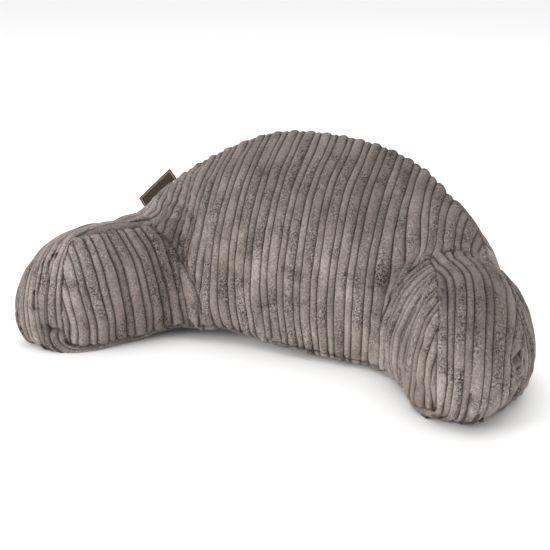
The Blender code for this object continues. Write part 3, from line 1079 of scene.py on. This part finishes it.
for hand in ("left", "right"):
    distance, _ = distance_to_line(skin, skin[seams[hand, "root_side"]])
    skin += normal * (ROOT_FILL * fade(distance, ROOT_FILL_WIDTH))[:, None]
print(len(CREASES), "creases, and both roots filled by", ROOT_FILL, "mm")

# %% [markdown]
# ## Ruffles and crimps
#
# The lower edges of the front and of the -X arm are sewn with a little fullness, so they ruffle, and
# their seam is pressed in, with a dark line of painted shade along it. At both shoulders the cloth is
# crimped where it is gathered. On the inner face of the +X arm the ribs stand higher and the colour is
# darkened with painted shade, and where three panels meet at its back corner the cloth stays calm.

# %% Ruffles and crimps
RUFFLE, RUFFLE_LENGTH, RUFFLE_WIDTH = 2.6, 15, 8
SEAM_PRESS, SEAM_PRESS_WIDTH = 2.5, 3
# painted shade along the pressed seams: how dark, and how wide
SEAM_SHADE, SEAM_SHADE_WIDTH = 0.8, 3.5
CALM_REACH = 20
CRUSHED_AND_SHADED = (222, -104, 98), (44, 56, 62), 0.6  # centre and reach in mm, and how much painted shade
CRIMPS = [  # centre, reach, length of one wave, sideways, outwards, all in mm
    ((-205, 0, 165), (46, 60, 42), 17, 1.5, 1.5),
    ((240, 0, 190), (28, 40, 18), 13, 1.2, 1.2),
]
for numbers in (seams["front_base"], seams["left", "ridge_low"]):
    distance, _ = distance_to_line(skin, skin[numbers])
    ripple = RUFFLE * waves(skin, RUFFLE_LENGTH, 77) * fade(distance, RUFFLE_WIDTH)
    ripple -= SEAM_PRESS * fade(distance, SEAM_PRESS_WIDTH)
    # a line of painted shade along the seam
    painted_shade = np.maximum(painted_shade, SEAM_SHADE * fade(distance, SEAM_SHADE_WIDTH))
    skin += normal * ripple[:, None]
calm = fade(np.linalg.norm(skin - skin[corner_numbers["right", "arm_back"]], axis=1), CALM_REACH)
crushed_and_shaded = within(skin, *CRUSHED_AND_SHADED[:2])
# painted shade darkens the +X arm's inner face, where the ribs also stand higher
painted_shade = np.maximum(painted_shade, CRUSHED_AND_SHADED[2] * crushed_and_shaded)
for centre, reach, length, sideways, outwards in CRIMPS:
    near = within(skin, centre, reach) * away * (1 - calm)
    turn = (skin[:, 2] + 0.35 * skin[:, 0]) * 2 * np.pi / length + 1.3 * waves(skin, 60, 41)
    skin[:, 0] += sideways * np.cos(turn) * near
    skin += normal * (outwards * np.sin(turn) * near)[:, None]
print("bare or crushed:", round(100 * (painted_shade > 0.3).mean(), 1), "percent of the cloth")

# %% [markdown]
# ## Raise the ribs
#
# Now the cord's profile is pushed out along the normals. On the flat back the ribs are broad with tight
# creases, and where the cloth bends, near a seam and all over the arms, they are round like cords.
# Where a rib ends in a seam its stuffed tip bulges over the seam as a small knob.

# %% Raise the ribs
RIB_HEIGHT = 3.9
CREASE_LEVEL = -2.2
ROUNDER_HEIGHT = 0.75  # how much higher a quite round rib stands
SEAM_DEPTH = 3.0
END_RADIUS = 3.4
END_LENGTH = 14.0
END_SWELL = 0.85
KNOB, KNOB_PLACE, KNOB_LENGTH = 3.2, 2, 4
NEAR_SEAM = 12
SHOULDER_KNOB, SHOULDER_KNOB_PLACE, SHOULDER_KNOB_LENGTH = 7.0, 7, 6
KNOBBY = (241, -4, 190), (36, 36, 18)  # centre and reach of the big knobs above the +X shoulder
normal = normals_of(skin)
facing_up = np.clip(normal[:, 2], 0, 1)
rise = np.sqrt(1 - (1 - np.clip(cloth["edge"] / END_RADIUS, 0, 1)) ** 2)
rounding = 1 - (1 - END_SWELL * fade(cloth["edge"], END_LENGTH)) * (1 - cloth["round"])
height = cloth["height"] * (1 - rounding) + cloth["dome"] * rounding
level = (height * RIB_HEIGHT * (1 + ROUNDER_HEIGHT * rounding) + CREASE_LEVEL * (1 + rounding)) * rise
level -= SEAM_DEPTH * (1 - rise)
level *= 1 - 0.6 * calm + 0.5 * crushed_and_shaded
knobby = fade(cloth["edge"] - SHOULDER_KNOB_PLACE, SHOULDER_KNOB_LENGTH)
level += SHOULDER_KNOB * (1 - calm) * cloth["dome"] * within(skin, *KNOBBY) * knobby
seam_tree = tree_of(skin[:seam_count])
near_seam = np.flatnonzero((cloth["edge"] > 0) & (cloth["edge"] < NEAR_SEAM))
to_seam = np.array([seam_tree.find(skin[k])[0] for k in near_seam]) - skin[near_seam]
to_seam /= np.linalg.norm(to_seam, axis=1, keepdims=True)
# Low down on the bed and at the end of the -X arm there are no knobs.
knob = KNOB * soft_step(skin[:, 2] / 30) * cloth["dome"] * soft_step((skin[:, 0] + 310) / 30)
knob *= fade(cloth["edge"] - KNOB_PLACE, KNOB_LENGTH)
skin += normal * level[:, None]
skin[near_seam] += to_seam * knob[near_seam, None]
skin[:, 2] = np.maximum(skin[:, 2], 0)
print("ribs stand from", round(level.min(), 1), "to", round(level.max(), 1), "mm off the smooth skin")

# %% [markdown]
# ## Into Blender
#
# The skin becomes one mesh. Three things go with it for the material: the flat pattern in metres as a UV
# map, so that a pile streak can follow its rib, the height of the pile lowered by the painted shade, with a
# random tone for each rib, and a mask of painted shade on cloth that faces up. The -X arm gets less of
# this painted top shade, and at its end the creases get less painted shade.

# %% Make the mesh
# the lowest pile value at the -X arm's end, so that its creases get less painted shade
LESS_END_SHADE = 0.4
TOP_SHADE_ON_ARM = 0.4
# pile height with the painted shade taken off: 0 gives the darkest painted crease shade
pile_and_shade = np.clip(height, 0, 1) ** (1 + 1.2 * rounding) * rise * (1 - 0.9 * painted_shade)
arm_end = soft_step((-275 - skin[:, 0]) / 20)
pile_and_shade = np.maximum(pile_and_shade, LESS_END_SHADE * arm_end * (1 - painted_shade))
# The digits after the point of a large sine are as good as random, and the same all along a rib.
tone = np.sin((cloth["repeat"] + cloth["wide"] * 0.37) * 12.9898) * 43758.5453 % 1
on_arm = soft_step((-190 - skin[:, 0]) / 40) * (skin[:, 2] < 185)
mesh = bpy.data.meshes.new("cord_cover")
mesh.from_pydata((skin * MM).tolist(), [], triangles.tolist())
mesh.shade_smooth()
pattern = mesh.uv_layers.new(name="cloth")
pattern.data.foreach_set("uv", (np.array(face_cloth).reshape(-1, 2) * MM).ravel())
look = mesh.attributes.new("cord", "FLOAT_VECTOR", "POINT")
look.data.foreach_set("vector", np.stack([pile_and_shade, cloth["wide"], tone], axis=1).ravel())
# painted shade on cloth that faces up, weaker on the top of the -X arm
top_shade_mask = mesh.attributes.new("top_shade_mask", "FLOAT", "POINT")
top_shade_mask.data.foreach_set("value", facing_up * (1 - (1 - TOP_SHADE_ON_ARM) * on_arm))
cover = bpy.data.objects.new("cord_cover", mesh)
bpy.context.scene.collection.objects.link(cover)
print("cover, mm:", [round(d / MM, 1) for d in cover.dimensions])
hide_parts("cushion")
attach(cover, "root")

# %% [markdown]
# ## Velour
#
# Cord velour is a polyester plush: fine upright fibres that stand on the ribs and are shorn away in the
# creases. It scatters light softly and glows a little at grazing angles, which Principled calls sheen.
# Where the pile was crushed it turns darker or lighter in small worm-like marks, mostly on the wide
# ribs, and the creases are dark because little light gets in.

# %% A material and its nodes
def tint(code):
    """Linear colour of an sRGB hex value."""
    parts = [int(code[k : k + 2], 16) / 255 for k in (1, 3, 5)]
    return (*[c / 12.92 if c <= 0.04045 else ((c + 0.055) / 1.055) ** 2.4 for c in parts], 1)


def material(name, finish):
    """A new material, its node tree and its shader, with the constant values of its finish."""
    made = bpy.data.materials.new(name)
    made.use_nodes = True
    shader = made.node_tree.nodes["Principled BSDF"]
    for socket, value in finish.items():
        shader.inputs[socket].default_value = value
    return made, made.node_tree, shader


def add(tree, kind, inputs=None, **settings):
    """Adds a node. An input is a value, a socket, or a node, which stands for its first output."""
    node = tree.nodes.new(kind)
    for name, value in settings.items():
        setattr(node, name, value)
    for name, value in (inputs or {}).items():
        source = value.outputs[0] if isinstance(value, bpy.types.Node) else value
        if isinstance(source, bpy.types.NodeSocket):
            tree.links.new(source, node.inputs[name])
        else:
            node.inputs[name].default_value = source
    return node


VELOUR = {
    "Roughness": 0.95, "Specular IOR Level": 0.15,  # fibre ends scatter light, and hardly shine
    "Sheen Weight": 0.4, "Sheen Roughness": 0.4, "Sheen Tint": tint("#c9c0b8"),  # the pile's pale glow
}
velour, tree, velour_shader = material("cord velour", VELOUR)
velour_map = add(tree, "ShaderNodeUVMap", uv_map="cloth")
across_and_along = add(tree, "ShaderNodeSeparateXYZ", {0: velour_map})
cord = add(tree, "ShaderNodeAttribute", attribute_name="cord")
cord_parts = add(tree, "ShaderNodeSeparateXYZ", {0: cord.outputs["Vector"]})
pile_and_shade_share, on_wide, rib_tone = (cord_parts.outputs[axis] for axis in "XYZ")
print("velour: sheen", VELOUR["Sheen Weight"], "over roughness", VELOUR["Roughness"])

# %% [markdown]
# The marks in the pile have real sizes. Worn streaks and bands run along a rib, so their noise is drawn
# out along it, and every rib gets its own slice of it: a streak ends where its rib does. Patches and
# clouds pass over the ribs. Single fibres are under 0.1 mm and can't show, so tufts and grain are
# drawn 2 to 3 mm coarse, the smallest that does.

# %% Crushed pile
ALONG_RIB = 0.42  # how much slower the marks change along a rib than across it
along = add(tree, "ShaderNodeMath", {0: across_and_along.outputs["Y"], 1: ALONG_RIB}, operation="MULTIPLY")
rib_slice = add(tree, "ShaderNodeMath", {0: rib_tone, 1: 3.0}, operation="MULTIPLY")
in_rib = add(tree, "ShaderNodeCombineXYZ", {0: across_and_along.outputs["X"], 1: along, 2: rib_slice})
everywhere = add(tree, "ShaderNodeTexCoord").outputs["Object"]
MARKS = {  # where, size in mm, detail, roughness, bend, the range of the noise, and what it becomes
    "worn": (in_rib, 23.8, 2.0, 0.5, 0.0, (0.44, 0.62), (0.0, 1.0)),
    "bands": (in_rib, 38.5, 2.0, 0.5, 0.0, (0.3, 0.7), (-1.0, 1.0)),
    "tufts": (everywhere, 2.13, 1.0, 0.6, 0.8, (0.4, 0.6), (-1.0, 1.0)),
    "grain": (everywhere, 2.94, 3.0, 0.8, 0.0, (0.36, 0.64), (-1.0, 1.0)),
    "patches": (everywhere, 37.0, 2.0, 0.6, 0.0, (0.54, 0.68), (0.0, 1.0)),
    "clouds": (everywhere, 62.5, 2.0, 0.6, 0.0, (0.35, 0.65), (-1.0, 1.0)),
    "faded": (everywhere, 90.9, 1.0, 0.5, 0.0, (0.55, 0.75), (0.0, 0.3)),
}
mark = {}
for name, (where, size, detail, rough, bend, (least, most), (start, end)) in MARKS.items():
    noise = add(tree, "ShaderNodeTexNoise", {"Vector": where, "Scale": 1 / (size * MM), "Detail": detail,
                                             "Roughness": rough, "Distortion": bend})
    mark[name] = add(tree, "ShaderNodeMapRange", {"Value": noise, "From Min": least, "From Max": most,
                                                  "To Min": start, "To Max": end})
wide_more = add(tree, "ShaderNodeMath", {0: on_wide, 1: 0.6, 2: 0.4}, operation="MULTIPLY_ADD")
mark["worn"] = add(tree, "ShaderNodeMath", {0: mark["worn"], 1: wide_more}, operation="MULTIPLY")
crushing = add(tree, "ShaderNodeMath", {0: mark["worn"], 1: 0.7, 2: 0.2}, operation="MULTIPLY_ADD")
crushing = add(tree, "ShaderNodeMath", {0: mark["patches"], 1: 0.5, 2: crushing}, operation="MULTIPLY_ADD")
mark["worms"] = add(tree, "ShaderNodeMath", {0: mark["tufts"], 1: crushing}, operation="MULTIPLY")
print(len(MARKS), "layers of marks, from", min(row[1] for row in MARKS.values()), "mm up")

# %% [markdown]
# The marks only decide how light the mink-coloured pile is. Two painted shades then darken it: painted
# shade in the creases, where little light reaches, and painted shade on cloth that faces up. Some clouds
# of the cloth are faded towards olive.

# %% Velour colour
light = 0.5
for name, share in (("worms", 0.3), ("grain", 0.13), ("bands", 0.1), ("clouds", 0.08), ("worn", -0.1),
                    ("patches", -0.14)):
    light = add(tree, "ShaderNodeMath", {0: mark[name], 1: share, 2: light}, operation="MULTIPLY_ADD")
mink = add(tree, "ShaderNodeValToRGB", {0: light})
mink.color_ramp.elements[0].color = tint("#3b332f")
mink.color_ramp.elements[1].color = tint("#ccc2bb")
mink.color_ramp.elements.new(0.5).color = tint("#8d817b")
olive = add(tree, "ShaderNodeMix", {0: mark["faded"], 6: mink, 7: tint("#928773")}, data_type="RGBA")
# painted shade: the lower the pile value, the darker the colour, in creases and along pressed seams
crease_shade = add(tree, "ShaderNodeMapRange", {"Value": pile_and_shade_share, "From Max": 0.55, "To Min": 0.42})
top_shade_mask = add(tree, "ShaderNodeAttribute", attribute_name="top_shade_mask")
# painted shade: cloth that faces up is darker
painted_top_shade = add(tree, "ShaderNodeMapRange", {"Value": top_shade_mask.outputs["Fac"], "From Max": 0.75, "To Min": 1.0,
                                             "To Max": 0.58})
shade = add(tree, "ShaderNodeMath", {0: crease_shade, 1: painted_top_shade}, operation="MULTIPLY")
shaded = add(tree, "ShaderNodeMix", {0: 1.0, 6: olive.outputs[2], 7: shade}, data_type="RGBA",
             blend_type="MULTIPLY")
relief = add(tree, "ShaderNodeMath", {0: mark["grain"], 1: 0.25, 2: mark["worms"]}, operation="MULTIPLY_ADD")
bump = add(tree, "ShaderNodeBump", {"Strength": 0.8, "Distance": 1.2 * MM, "Height": relief})
tree.links.new(shaded.outputs[2], velour_shader.inputs["Base Color"])
tree.links.new(bump.outputs[0], velour_shader.inputs["Normal"])
cover.data.materials.append(velour)
print("velour:", len(tree.nodes), "nodes")

# %% [markdown]
# ## The side tab
#
# A folded strip of woven ribbon is caught in the arched seam. It is bare, with a lighter border woven
# in. It follows the line of the seam, and its fold is the free edge.

# %% Woven tab
TAB_X = -246
TAB_WIDTH = 68
TAB_REACH = 18
TAB_THICKNESS = 1.4
TAB_SUNK = 1.5  # how deep its two ends sit in the seam
TAB_CURL = 0.9
COLUMNS = 29
run_dir = settle(arch_point(TAB_X + 1)) - settle(arch_point(TAB_X - 1))
run_dir /= np.linalg.norm(run_dir)
out_dir = np.cross((0, -1, LEAN), run_dir)
out_dir /= np.linalg.norm(out_dir)
face_dir = np.cross(run_dir, out_dir)
shares = np.linspace(0, 1, 11)
section = [(TAB_REACH * share - TAB_SUNK, TAB_THICKNESS / 2) for share in shares]
for turn in np.linspace(75, -75, 6):
    bulge = sin(radians(90 - abs(turn))) * 0.5
    section.append((TAB_REACH - TAB_SUNK + bulge, sin(radians(turn)) * TAB_THICKNESS / 2))
section += [(TAB_REACH * share - TAB_SUNK, -TAB_THICKNESS / 2) for share in shares[::-1]]
places, flat_places, sides = [], [], []
for k in range(COLUMNS):
    across = TAB_WIDTH * (k / (COLUMNS - 1) - 0.5)
    middle = settle(arch_point(TAB_X)) + run_dir * across
    curl = TAB_CURL * sin(across / TAB_WIDTH * 3.0)
    for reach, off in section:
        places.append(middle + out_dir * reach + face_dir * (off + curl * max(reach, 0) / TAB_REACH))
        flat_places.append((across * MM, reach * MM))
ring = len(section)
for k in range(COLUMNS - 1):
    for j in range(ring):
        n = (j + 1) % ring
        sides.append((k * ring + j, (k + 1) * ring + j, (k + 1) * ring + n, k * ring + n))
ends = [tuple(range(ring)), tuple((COLUMNS - 1) * ring + j for j in range(ring))[::-1]]
tab_mesh = bpy.data.meshes.new("woven_tab")
tab_mesh.from_pydata((np.array(places) * MM).tolist(), [], sides + ends)
tab_mesh.shade_smooth()
tab_pattern = tab_mesh.uv_layers.new(name="cloth")
for loop in tab_mesh.loops:
    tab_pattern.data[loop.index].uv = flat_places[loop.vertex_index]
tab = bpy.data.objects.new("woven_tab", tab_mesh)
bpy.context.scene.collection.objects.link(tab)
print("tab, mm:", TAB_WIDTH, "x", TAB_REACH, "with", len(places), "vertices")
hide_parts("side_label")
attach(tab, "root")

# %% [markdown]
# The ribbon is woven of polyester yarn, dark brown with a tan border a little inside its edge. Its
# weave makes it matt. A thread of such ribbon is about 0.2 mm wide, which is too fine to show, so it is
# drawn nearly twice as wide, with the unevenness of the yarn on top.

# %% Ribbon material
THREAD = 0.349  # mm from thread to thread
UNEVEN = 0.714  # mm
BORDER_IN = 2.4  # mm from the edge to the middle of the border
BORDER_EDGES = (0.4, 1.1)  # half the border's width where it is full, and where it ends, mm
WAVES_PER_SCALE = 10 / np.pi  # what a wave texture holds in one metre at scale 1
RIBBON = {"Roughness": 0.8, "Specular IOR Level": 0.2}
ribbon, tree, ribbon_shader = material("woven polyester ribbon", RIBBON)
ribbon_map = add(tree, "ShaderNodeUVMap", uv_map="cloth")
across_and_out = add(tree, "ShaderNodeSeparateXYZ", {0: ribbon_map})
weave = add(tree, "ShaderNodeTexWave", {"Vector": ribbon_map, "Distortion": 1.0,
                                        "Scale": 1 / (THREAD * MM * WAVES_PER_SCALE)}, bands_direction="Y")
yarn = add(tree, "ShaderNodeTexNoise", {"Vector": ribbon_map, "Scale": 1 / (UNEVEN * MM)})
threads = add(tree, "ShaderNodeMath", {0: yarn, 1: 0.5, 2: weave.outputs["Fac"]}, operation="MULTIPLY_ADD")
across = add(tree, "ShaderNodeMath", {0: across_and_out.outputs["X"]}, operation="ABSOLUTE")
end_gap = add(tree, "ShaderNodeMath", {0: TAB_WIDTH / 2 * MM, 1: across}, operation="SUBTRACT")
fold = (TAB_REACH - TAB_SUNK) * MM
fold_gap = add(tree, "ShaderNodeMath", {0: fold, 1: across_and_out.outputs["Y"]}, operation="SUBTRACT")
edge_gap = add(tree, "ShaderNodeMath", {0: end_gap, 1: fold_gap}, operation="MINIMUM")
off_border = add(tree, "ShaderNodeMath", {0: edge_gap, 1: BORDER_IN * MM}, operation="SUBTRACT")
off_border = add(tree, "ShaderNodeMath", {0: off_border}, operation="ABSOLUTE")
border = add(tree, "ShaderNodeMapRange", {"Value": off_border, "From Min": BORDER_EDGES[0] * MM,
                                          "From Max": BORDER_EDGES[1] * MM, "To Min": 1.0, "To Max": 0.0})
brown = add(tree, "ShaderNodeValToRGB", {0: threads})
brown.color_ramp.elements[0].color = tint("#251b15")
brown.color_ramp.elements[1].color = tint("#3f3228")
bordered = add(tree, "ShaderNodeMix", {0: border, 6: brown, 7: tint("#86704f")}, data_type="RGBA")
bump = add(tree, "ShaderNodeBump", {"Strength": 0.4, "Distance": 0.3 * MM, "Height": threads})
tree.links.new(bordered.outputs[2], ribbon_shader.inputs["Base Color"])
tree.links.new(bump.outputs[0], ribbon_shader.inputs["Normal"])
tab.data.materials.append(ribbon)
print("ribbon:", len(tree.nodes), "nodes")

# %% [markdown]
# ## The floor
#
# The pillow stands on a sweep of white paper. A large plane does for it, because its surroundings are
# just as white. It lies a hair under the pillow, so that no two faces lie in the same place.

# %% Floor
PAPER = {"Base Color": tint("#f3f3f3"), "Roughness": 0.9, "Specular IOR Level": 0.1}  # matt, without gloss
bpy.ops.mesh.primitive_plane_add(size=14, location=(0, 0, -0.3 * MM))
floor = bpy.context.object
floor.name = "floor"
floor.data.materials.append(material("white paper sweep", PAPER)[0])
print("floor:", [round(d) for d in floor.dimensions[:2]], "m")

# %% [markdown]
# ## The light
#
# One broad soft light comes from the front left, a wide weak one from above, and the white
# surroundings fill the rest, so the shadow is only a soft contact shadow.

# %% Light
AIM = Vector((0, 0, 0.1))
SOFTBOXES = [  # name, place and size in metres, power in watts
    ("key", (-1.8, -2.4, 0.9), (1.5, 1.4), 56),
    ("overhead", (0.0, 0.8, 2.2), (3.2, 3.2), 38),
]
world = bpy.data.worlds.new("studio")
world.use_nodes = True
world.node_tree.nodes["Background"].inputs["Color"].default_value = (1, 1, 1, 1)
world.node_tree.nodes["Background"].inputs["Strength"].default_value = 1.0
bpy.context.scene.world = world
for name, place, size, power in SOFTBOXES:
    lamp = bpy.data.lights.new(name, "AREA")
    lamp.shape = "RECTANGLE"
    lamp.size, lamp.size_y = size
    lamp.energy = power
    softbox = bpy.data.objects.new(name, lamp)
    softbox.location = place
    softbox.rotation_euler = (AIM - Vector(place)).to_track_quat("-Z", "Y").to_euler()
    bpy.context.scene.collection.objects.link(softbox)
    print(name, "softbox:", power, "W")

# %% [markdown]
# ## The camera
#
# A product like this is shot from a little above with a long lens, which keeps its proportions. The
# camera's place is given as two angles and a distance, and its aim as two more angles, because each
# can then be corrected by itself.

# %% Camera
AZIMUTH, HEIGHT_ANGLE, DISTANCE = 26.602, 21.932, 1727.8  # from the front base seam: degrees and mm
AIM_AZIMUTH, AIM_DOWN = 26.870, 18.263
lens = bpy.data.cameras.new("camera")
lens.lens = 80
lens.sensor_width = 36
camera = bpy.data.objects.new("camera", lens)
level_share = cos(radians(HEIGHT_ANGLE))
stand = Vector((sin(radians(AZIMUTH)) * level_share, -cos(radians(AZIMUTH)) * level_share,
                sin(radians(HEIGHT_ANGLE))))
camera.location = (stand * DISTANCE + Vector(SHIFT)) * MM
camera.rotation_euler = (radians(90 - AIM_DOWN), 0, radians(AIM_AZIMUTH))
bpy.context.scene.collection.objects.link(camera)
bpy.context.scene.camera = camera
bpy.context.scene.view_settings.view_transform = "Standard"
print("camera", round(DISTANCE), "mm away,", round(HEIGHT_ANGLE), "degrees up")
